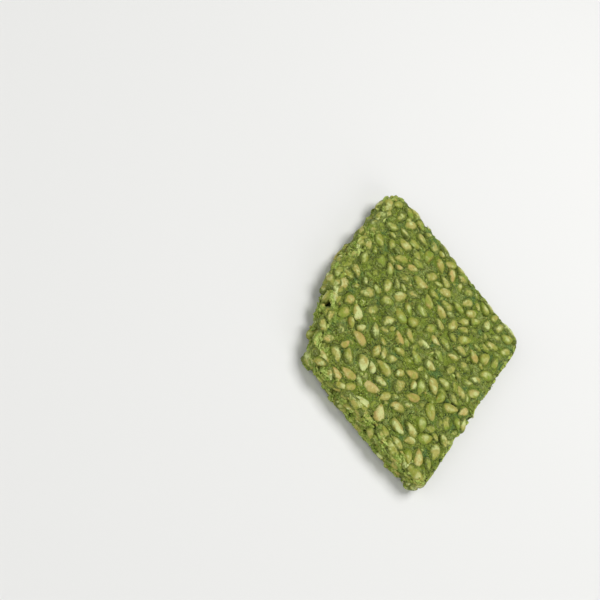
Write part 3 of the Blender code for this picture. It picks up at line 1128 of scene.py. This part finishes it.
class AddFaceSeeds(bpy.types.Operator):
    """Add the seeds of both faces, whole and proud on top, pressed flat underneath"""

    bl_idname = "cracker.add_face_seeds"
    bl_label = "Add the Face Seeds"

    def execute(self, context):
        seeds = context.scene.cracker_seeds
        ball, faces = seed_ball()
        draw = random.Random(SEED_FORM_DRAW)
        copies = []
        for place, angle, length, width in top_places():
            matrix = rest_on_top(place, angle, draw.uniform(*TOP_SEED_SUNK), seeds, draw)
            copy = seed_copy(ball, draw, length, width, seeds.thickness, matrix)
            rise = top_rise(copy, place, seeds.thickness)
            trend = paleness(place)
            copies.append((copy, seed_numbers(draw, ball, rise, trend, -trend)))
        join_copies("top_seeds", faces, copies, seed_material())
        copies = []
        for place, angle, length, width in underside_places():
            low = underside_height(place.x, place.y)
            matrix = turned((place.x, place.y, low), ("X", math.pi), ("Z", angle))
            copy = seed_copy(ball, draw, length, width, seeds.thickness, matrix)
            rise = 2 * (low - copy[:, 2]) / seeds.thickness
            copies.append((copy, seed_numbers(draw, ball, rise)))
        join_copies("underside_seeds", faces, copies, seed_material())
        return {"FINISHED"}


SUNK_SHARES = (0.1, 1.0)
SUNK_SEED_FLAT = 0.9
SUNK_SEED_RISE = 0.15
SUNK_SEED_FILM = (0.15, 0.75)


class AddSunkSeeds(bpy.types.Operator):
    """Add the smaller seeds that lie deeper in the upper face"""

    bl_idname = "cracker.add_sunk_seeds"
    bl_label = "Add the Sunk Seeds"

    def execute(self, context):
        seeds = context.scene.cracker_seeds
        ball, faces = seed_ball()
        draw = random.Random(SEED_FORM_DRAW + 1)
        copies = []
        for place, angle, length, width in sunk_places(seeds.sunk_count):
            sunk = draw.uniform(*SUNK_SHARES) * seeds.sunk_depth
            matrix = rest_on_top(place, angle, sunk, seeds, draw)
            copy = seed_copy(ball, draw, length, width, SUNK_SEED_FLAT * seeds.thickness, matrix)
            rise = top_rise(copy, place, seeds.thickness) + SUNK_SEED_RISE
            film = SUNK_SEED_FILM[0] + SUNK_SEED_FILM[1] * sunk / seeds.sunk_depth
            copies.append((copy, seed_numbers(draw, ball, rise, paleness(place), film)))
        join_copies("sunk_seeds", faces, copies, seed_material())
        return {"FINISHED"}


# Which points of the paste count as its open side.
SIDE_ENOUGH = 0.35
OPEN_FROM = 0.05
OPEN_REACH = 0.40


def side_spots(draw, count):
    """Places on the broken sides of the paste, each with its own and the side's outward direction."""
    if "paste" not in bpy.data.objects:
        raise RuntimeError("the paste must be added first")
    mesh = bpy.data.objects["paste"].data
    side = mesh.attributes["side"].data
    relief = mesh.attributes["relief"].data
    spots = []
    while len(spots) < count:
        index = draw.randrange(len(mesh.vertices))
        open_share = smooth_step((relief[index].value - OPEN_FROM) / OPEN_REACH)
        if side[index].value < SIDE_ENOUGH or draw.random() > open_share:
            continue
        spot = mesh.vertices[index].co
        _, outward = nearest_rim(spot.x, spot.y)
        if draw.random() < roughness_of(outward):
            spots.append((spot.copy(), mesh.vertices[index].normal.copy(), outward))
    return spots


# Seeds of the sides: the further ones that the walls show, and those that hang over the edge.
EXTRA_SIDE_DRAW = 83
SIDE_SEED_PLUMP = 1.2
SIDE_SEED_RISE = (0.35, 0.5)
SIDE_SEED_TONE_SHIFT = 0.10
SIDE_SEED_COAT_SHIFT = 0.22
FURTHER_LEAN = (-25, 60)
FURTHER_ROLL = 35
FURTHER_SUNK = 0.0003
FURTHER_HEIGHTS = (0.0010, 0.0038)
CLEAN_SIDE_SEEDS = 0.30
RIM_SEED_SHORTEST = 0.0025
RIM_SEED_SLIM = 0.88
RIM_SEED_INSETS = (0.0001, 0.0007)
RIM_SEED_SUNK = (0.0001, 0.0003)
RIM_SEED_DIPS = (12, 40)
RIM_SEED_TURN = 0.4


def solid_side_seeds():
    """The solid's seeds in the cut sides: length, width and matrix of each."""
    draw = random.Random(SIDE_DRAW)
    rim = outline_points(RIM_SPACING)
    for index, (length, width) in enumerate(draw_sizes(draw, SIDE_SEEDS)):
        turn = index * SIDE_SEED_STRIDE % SIDE_SEEDS + draw.uniform(*SIDE_SEED_JITTER)
        place, outward = rim[int(turn * len(rim) / SIDE_SEEDS)]
        height = draw.uniform(*SIDE_SEED_HEIGHTS)
        lean = math.radians(draw.uniform(*SIDE_SEED_LEAN) * draw.choice((-1, 1)))
        roll = math.radians(draw.uniform(-SIDE_SEED_ROLL, SIDE_SEED_ROLL) + draw.choice((0, 180)))
        spot = wall_point(place, outward, height, SIDE_SEED_SUNK)
        yield length, width, side_matrix(spot, outward, lean, roll)


def further_side_seeds(draw, count):
    """Further seeds that show in the broken sides: length, width and matrix of each."""
    for spot, _, outward in side_spots(draw, count):
        length = draw.uniform(*SUNK_LENGTHS)
        width = length * draw.uniform(*SEED_WIDTH_SHARE)
        lean = math.radians(draw.uniform(*FURTHER_LEAN))
        roll = math.radians(draw.uniform(-FURTHER_ROLL, FURTHER_ROLL) + draw.choice((0, 180)))
        spot = spot - draw.uniform(0.0, FURTHER_SUNK) * Vector((outward.x, outward.y, 0))
        spot.z = min(max(spot.z, FURTHER_HEIGHTS[0]), FURTHER_HEIGHTS[1])
        yield length, width, side_matrix(spot, outward, lean, roll)


def rim_seeds(draw, count):
    """Seeds that hang over the edge of the top: length, width and matrix of each."""
    rim = outline_points(RIM_SPACING)
    for _ in range(count):
        place, outward = draw.choice(rim)
        while draw.random() > CLEAN_SIDE_SEEDS + roughness_of(outward):
            place, outward = draw.choice(rim)
        length = draw.uniform(RIM_SEED_SHORTEST, SEED_LONGEST)
        width = RIM_SEED_SLIM * length * draw.uniform(*SEED_WIDTH_SHARE)
        spot = rim_spot(place, outward, draw.uniform(*RIM_SEED_INSETS), -draw.uniform(*RIM_SEED_SUNK))
        dip = math.radians(draw.uniform(*RIM_SEED_DIPS))
        turn = math.pi / 2 + draw.gauss(0, RIM_SEED_TURN)
        yield length, width, turned(spot, ("Z", heading_of(outward)), ("Y", dip), ("Z", turn))


class AddSideSeeds(bpy.types.Operator):
    """Add the seeds that show in the cut sides"""

    bl_idname = "cracker.add_side_seeds"
    bl_label = "Add the Side Seeds"

    def execute(self, context):
        seeds = context.scene.cracker_seeds
        ball, faces = seed_ball()
        form_draw = random.Random(SEED_FORM_DRAW + 2)
        draw = random.Random(EXTRA_SIDE_DRAW)
        placed = list(solid_side_seeds())
        placed += further_side_seeds(draw, seeds.side_count)
        placed += rim_seeds(draw, seeds.rim_count)
        rise = SIDE_SEED_RISE[0] + SIDE_SEED_RISE[1] * ball[:, 2]
        copies = []
        for length, width, matrix in placed:
            copy = seed_copy(ball, form_draw, length, width, SIDE_SEED_PLUMP * seeds.thickness, matrix)
            numbers = seed_numbers(form_draw, ball, rise, SIDE_SEED_TONE_SHIFT, SIDE_SEED_COAT_SHIFT)
            copies.append((copy, {**numbers, "peach": 0.0}))
        join_copies("side_seeds", faces, copies, seed_material())
        return {"FINISHED"}


# Flakes: their sizes, how they lie in the wall and along the edge, and their tones.
FLAKE_DRAW = 91
FLAKE_LENGTHS = (0.0010, 0.0025)
FLAKE_WIDTHS = (0.00060, 0.00125)
FLAKE_THICKNESS = (0.00014, 0.00032)
BIG_FLAKE_SHARE = 0.28
BIG_FLAKE_GROW = 1.2
FLAKE_SUNK = (0.00020, 0.00055)
FLAKE_TURN = 0.12
FLAKE_ROLL = 0.45
FLAKE_RAGGED = 0.16
FLAKE_CURL = 0.12
FLAKE_TONES = (1.5, 2.2)
RIM_FLAKE_SPREAD = 0.0003
ROUGH_SPREAD = 0.0006
RIM_FLAKE_LIFT = 0.00002
RIM_FLAKE_TURN = 0.6
RIM_FLAKE_TILT = 0.2
RIM_FLAKE_ROLL = 0.35
RIM_FLAKE_RAGGED = 0.22
RIM_FLAKE_CURL = 0.1
RIM_FLAKE_TONES = (1.8, 2.0)
CURL_TWIST = 0.5


def lump_copy(ball, draw, sizes, ragged, curl, matrix):
    """One flake or crumb from the ball: ragged, curled and put in place."""
    rough = 1 + ragged * np.array([draw.uniform(-1, 1) for _ in range(len(ball))])
    form = ball * rough[:, None] * 0.5 * np.array(sizes)
    form[:, 2] += curl * sizes[0] * (ball[:, 0] ** 2 + CURL_TWIST * ball[:, 0] * ball[:, 1])
    return moved(form, matrix)


def flake_copy(ball, draw, grow, ragged, curl, matrix):
    """One flake of a random size and curl, put in place."""
    sizes = [grow * draw.uniform(*limits) for limits in (FLAKE_LENGTHS, FLAKE_WIDTHS, FLAKE_THICKNESS)]
    return lump_copy(ball, draw, sizes, ragged, draw.uniform(-curl, curl), matrix)


class AddFlakes(bpy.types.Operator):
    """Add the thin flakes of paste that stand out of the cut sides, lying with its layers"""

    bl_idname = "cracker.add_flakes"
    bl_label = "Add the Flakes"

    def execute(self, context):
        crumbs = context.scene.cracker_crumbs
        ball, faces = shape_template(bpy.ops.mesh.primitive_uv_sphere_add, segments=8, ring_count=5)
        draw = random.Random(FLAKE_DRAW)
        copies = []
        for spot, facing, outward in side_spots(draw, crumbs.flakes):
            heading = heading_of(outward) + math.pi / 2 + draw.gauss(0, FLAKE_TURN)
            spot = spot - draw.uniform(*FLAKE_SUNK) * facing
            turns = (("Y", draw.gauss(0, FLAKE_TURN)), ("X", draw.gauss(0, FLAKE_ROLL)))
            grow = BIG_FLAKE_GROW if draw.random() < BIG_FLAKE_SHARE else 1.0
            matrix = turned(spot, ("Z", heading), *turns)
            copy = flake_copy(ball, draw, grow, FLAKE_RAGGED, FLAKE_CURL, matrix)
            copies.append((copy, {"tone": draw.betavariate(*FLAKE_TONES)}))
        for place, outward, rough in rim_places(draw, crumbs.rim_flakes, CLEAN_SIDE_FLAKES):
            inset = abs(draw.gauss(0, RIM_FLAKE_SPREAD + ROUGH_SPREAD * rough))
            spot = rim_spot(place, outward, inset, RIM_FLAKE_LIFT)
            heading = heading_of(outward) + math.pi / 2 + draw.gauss(0, RIM_FLAKE_TURN)
            turns = (("Y", draw.gauss(0, RIM_FLAKE_TILT)), ("X", draw.gauss(0, RIM_FLAKE_ROLL)))
            matrix = turned(spot, ("Z", heading), *turns)
            copy = flake_copy(ball, draw, 1.0, RIM_FLAKE_RAGGED, RIM_FLAKE_CURL, matrix)
            copies.append((copy, {"tone": draw.betavariate(*RIM_FLAKE_TONES)}))
        join_copies("side_flakes", faces, copies, crumb_material())
        return {"FINISHED"}


# Threads: their sizes, and where on the broken sides they hang.
FIBRE_LENGTHS = (0.0005, 0.0015)
FIBRE_WIDTHS = (0.00012, 0.00030)
FIBRE_BEND = 0.24
FIBRE_WAVES = (1.5, 3.5)
FIBRE_WALL_SHARE = 0.6
FIBRE_LOWEST = SLAB_BOTTOM + 0.0003
FIBRE_STRAY = 0.00015
FIBRE_SPREAD = 0.0002
FIBRE_LIFT = 0.0003
FIBRE_TURN = 0.65
FIBRE_TILT = 0.25
FIBRE_TONES = (1.6, 2.2)
EDGE_ROUND_FROM = 0.8
EDGE_ROUND_SLOPE = 4


def fibre_copy(ball, draw, matrix):
    """One thread from the ball: long, thin and curled two ways, put in place."""
    length = draw.uniform(*FIBRE_LENGTHS)
    width = draw.uniform(*FIBRE_WIDTHS)
    form = ball * 0.5 * np.array((length, width, width))
    for axis in (1, 2):
        bend = draw.uniform(-FIBRE_BEND, FIBRE_BEND)
        wave = np.sin(draw.uniform(*FIBRE_WAVES) * ball[:, 0] + draw.uniform(*WAVE_STARTS))
        form[:, axis] += bend * length * wave
    return moved(form, matrix)


def fibre_spot(draw, place, outward, rough):
    """Where a thread hangs: on the wall, or on the upper face near its edge."""
    if draw.random() < FIBRE_WALL_SHARE:
        height = draw.uniform(FIBRE_LOWEST, SLAB_TOP)
        stray = draw.uniform(-FIBRE_STRAY, FIBRE_STRAY)
        rounding = TOP_INSET * max(0.0, height / SLAB_TOP - EDGE_ROUND_FROM) * EDGE_ROUND_SLOPE
        return wall_point(place, outward, height, stray + rounding)
    inset = abs(draw.gauss(0, FIBRE_SPREAD + ROUGH_SPREAD * rough))
    return rim_spot(place, outward, inset, draw.uniform(0.0, FIBRE_LIFT))


class AddFibres(bpy.types.Operator):
    """Add the thin curled threads of paste along the broken sides"""

    bl_idname = "cracker.add_fibres"
    bl_label = "Add the Fibres"

    def execute(self, context):
        ball, faces = shape_template(bpy.ops.mesh.primitive_uv_sphere_add, segments=5, ring_count=8)
        draw = random.Random(FLAKE_DRAW + 2)
        copies = []
        for place, outward, rough in rim_places(draw, context.scene.cracker_crumbs.fibres, CLEAN_SIDE_FLAKES):
            spot = fibre_spot(draw, place, outward, rough)
            heading = heading_of(outward) + math.pi / 2 + draw.gauss(0, FIBRE_TURN)
            matrix = turned(spot, ("Z", heading), ("Y", draw.gauss(0, FIBRE_TILT)))
            copy = fibre_copy(ball, draw, matrix)
            copies.append((copy, {"tone": draw.betavariate(*FIBRE_TONES)}))
        join_copies("side_fibres", faces, copies, crumb_material())
        return {"FINISHED"}


# Crumbs and scraps of hull: their sizes, where they cling, and their tones.
CRUMB_SIZES = (0.00014, 0.00080)
CRUMB_SMALLER = 2.5
CRUMB_LONG = (1.0, 1.8)
CRUMB_FLAT = (0.6, 1.0)
CRUMB_RAGGED = 0.12
CRUMB_STRAY = 0.0001
RIM_CRUMB_SPREAD = 0.0008
RIM_CRUMB_LIFT = 0.0002
SIDE_CRUMB_TONES = (1.6, 2.4)
RIM_CRUMB_TONES = (1.6, 2.0)
FACE_CRUMB_TONES = (1.6, 2.2)
SCRAP_LENGTHS = (0.0006, 0.0014)
SCRAP_WIDTH_SHARE = 0.5
SCRAP_THICKNESS = 0.0001
SCRAP_RAGGED = 0.2
SCRAP_CURL = 0.15
SCRAP_INSET = 0.0002


def crumb_at(ball, draw, spot, tones):
    """One crumb at a spot, turned any way, with its tone."""
    turn = any_turn(draw)
    low, high = CRUMB_SIZES
    size = low + (high - low) * draw.random() ** CRUMB_SMALLER
    sizes = (size * draw.uniform(*CRUMB_LONG), size, size * draw.uniform(*CRUMB_FLAT))
    copy = lump_copy(ball, draw, sizes, CRUMB_RAGGED, 0.0, Matrix.Translation(spot) @ turn)
    return copy, {"tone": draw.betavariate(*tones)}


class AddCrumbs(bpy.types.Operator):
    """Add the crumbs that cling to the sides and the top, and the scraps of hull"""

    bl_idname = "cracker.add_crumbs"
    bl_label = "Add the Crumbs"

    def execute(self, context):
        crumbs = context.scene.cracker_crumbs
        ball, faces = shape_template(bpy.ops.mesh.primitive_ico_sphere_add, turn=False, subdivisions=1)
        draw = random.Random(FLAKE_DRAW + 1)
        copies = []
        for spot, facing, _ in side_spots(draw, crumbs.side_crumbs):
            spot = spot + draw.uniform(-CRUMB_STRAY, CRUMB_STRAY) * facing
            copies.append(crumb_at(ball, draw, spot, SIDE_CRUMB_TONES))
        for place, outward, _ in rim_places(draw, crumbs.rim_crumbs, 0.0):
            inset = abs(draw.gauss(0, RIM_CRUMB_SPREAD))
            spot = rim_spot(place, outward, inset, draw.uniform(0.0, RIM_CRUMB_LIFT))
            copies.append(crumb_at(ball, draw, spot, RIM_CRUMB_TONES))
        for _ in range(crumbs.face_crumbs):
            place = random_place(draw)
            while depth_inside(place) < TOP_INSET:
                place = random_place(draw)
            spot = Vector((place.x, place.y, top_height(place.x, place.y)))
            copies.append(crumb_at(ball, draw, spot, FACE_CRUMB_TONES))
        join_copies("crumbs", faces, copies, crumb_material())
        copies = []
        for _ in range(crumbs.scraps):
            place, outward = draw.choice(outline_points(SHELL_SPACING))
            height = draw.uniform(SLAB_BOTTOM, SLAB_TOP)
            spot = wall_point(place, outward, height, SCRAP_INSET)
            matrix = Matrix.Translation(spot) @ any_turn(draw)
            length = draw.uniform(*SCRAP_LENGTHS)
            sizes = (length, SCRAP_WIDTH_SHARE * length, SCRAP_THICKNESS)
            copy = lump_copy(ball, draw, sizes, SCRAP_RAGGED, SCRAP_CURL, matrix)
            copies.append((copy, {"tone": draw.random()}))
        join_copies("hull_scraps", faces, copies, hull_material())
        return {"FINISHED"}


# The lights, each with the direction it comes from, its distance and its size, and the floor.
KEY_FROM = (0.09, 0.44, 0.90)
KEY_DISTANCE = 0.50
KEY_SIZE = 0.28
FILL_FROM = (-0.50, -0.72, 0.46)
FILL_DISTANCE = 0.60
FILL_SIZE = 0.50
BOUNCE_FROM = (0.85, -0.30, 0.35)
BOUNCE_DISTANCE = 0.50
BOUNCE_SIZE = 0.40
FLOOR_SIZE = 6.0
FLOOR_DROP = 0.00003
NEAREST_SEEN = 0.01


def add_area_light(name, towards, distance, size, power):
    """A soft square light that faces the cracker from a direction."""
    data = bpy.data.lights.new(name, "AREA")
    data.size = size
    data.energy = power
    light = bpy.data.objects.new(name, data)
    direction = Vector(towards).normalized()
    light.location = direction * distance
    light.rotation_euler = direction.to_track_quat("Z", "Y").to_euler()
    bpy.context.scene.collection.objects.link(light)


class AddStage(bpy.types.Operator):
    """Add the pale floor, the soft light and the camera"""

    bl_idname = "cracker.add_stage"
    bl_label = "Add the Stage"

    def execute(self, context):
        stage = context.scene.cracker_stage
        begin_piece()
        bpy.ops.mesh.primitive_plane_add(size=FLOOR_SIZE, location=(0, 0, -FLOOR_DROP))
        floor = context.object
        floor.name = "floor"
        material, _, shader = new_material("floor", 0.7, 0.2)
        shader.inputs["Base Color"].default_value = (*stage.floor, 1.0)
        floor.data.materials.append(material)
        world = context.scene.world or bpy.data.worlds.new("studio")
        context.scene.world = world
        world.use_nodes = True
        world.node_tree.nodes["Background"].inputs["Color"].default_value = (1, 1, 1, 1)
        world.node_tree.nodes["Background"].inputs["Strength"].default_value = stage.air
        add_area_light("key", KEY_FROM, KEY_DISTANCE, KEY_SIZE, stage.key_power)
        add_area_light("fill", FILL_FROM, FILL_DISTANCE, FILL_SIZE, stage.fill_power)
        add_area_light("bounce", BOUNCE_FROM, BOUNCE_DISTANCE, BOUNCE_SIZE, stage.bounce_power)
        data = bpy.data.cameras.new("camera")
        data.lens = stage.lens
        data.clip_start = NEAREST_SEEN
        camera = bpy.data.objects.new("camera", data)
        level = math.cos(stage.pitch)
        x = math.sin(stage.heading) * level
        y = math.cos(stage.heading) * level
        forward = Vector((x, y, -math.sin(stage.pitch)))
        camera.location = Vector(stage.target) - forward * stage.distance
        turn = forward.to_track_quat("-Z", "Y") @ Quaternion((0, 0, 1), stage.roll)
        camera.rotation_euler = turn.to_euler()
        context.scene.collection.objects.link(camera)
        context.scene.camera = camera
        context.scene.view_settings.view_transform = "Standard"
        return {"FINISHED"}


class CrackerPanel(bpy.types.Panel):
    """The cracker's settings and its operators"""

    bl_idname = "VIEW3D_PT_cracker"
    bl_label = "Matcha Sesame Cracker"
    bl_space_type = "VIEW_3D"
    bl_region_type = "UI"
    bl_category = "Cracker"

    def draw(self, context):
        for operator in OPERATORS:
            self.layout.operator(operator.bl_idname)
        for key in SETTINGS:
            group = getattr(context.scene, key)
            box = self.layout.box()
            for name in group.bl_rna.properties.keys():
                if name not in ("rna_type", "name"):
                    box.prop(group, name)


OPERATORS = (
    AddPaste, AddFaceSeeds, AddSunkSeeds, AddSideSeeds, AddFlakes, AddFibres, AddCrumbs, AddStage,
)
SETTINGS = {
    "cracker_paste": PasteSettings,
    "cracker_seeds": SeedSettings,
    "cracker_crumbs": CrumbSettings,
    "cracker_stage": StageSettings,
}


def register():
    """Register the settings, the operators and the panel."""
    for group in (*SETTINGS.values(), *OPERATORS, CrackerPanel):
        bpy.utils.register_class(group)
    for key, group in SETTINGS.items():
        setattr(bpy.types.Scene, key, PointerProperty(type=group))


def unregister():
    """Take back what register did."""
    for key in SETTINGS:
        delattr(bpy.types.Scene, key)
    for group in reversed((*SETTINGS.values(), *OPERATORS, CrackerPanel)):
        bpy.utils.unregister_class(group)


def main():
    """Dress the cracker and set its stage."""
    register()
    bpy.ops.cracker.add_paste()
    bpy.ops.cracker.add_face_seeds()
    bpy.ops.cracker.add_sunk_seeds()
    bpy.ops.cracker.add_side_seeds()
    bpy.ops.cracker.add_flakes()
    bpy.ops.cracker.add_fibres()
    bpy.ops.cracker.add_crumbs()
    bpy.ops.cracker.add_stage()


if __name__ == "__main__":
    main()
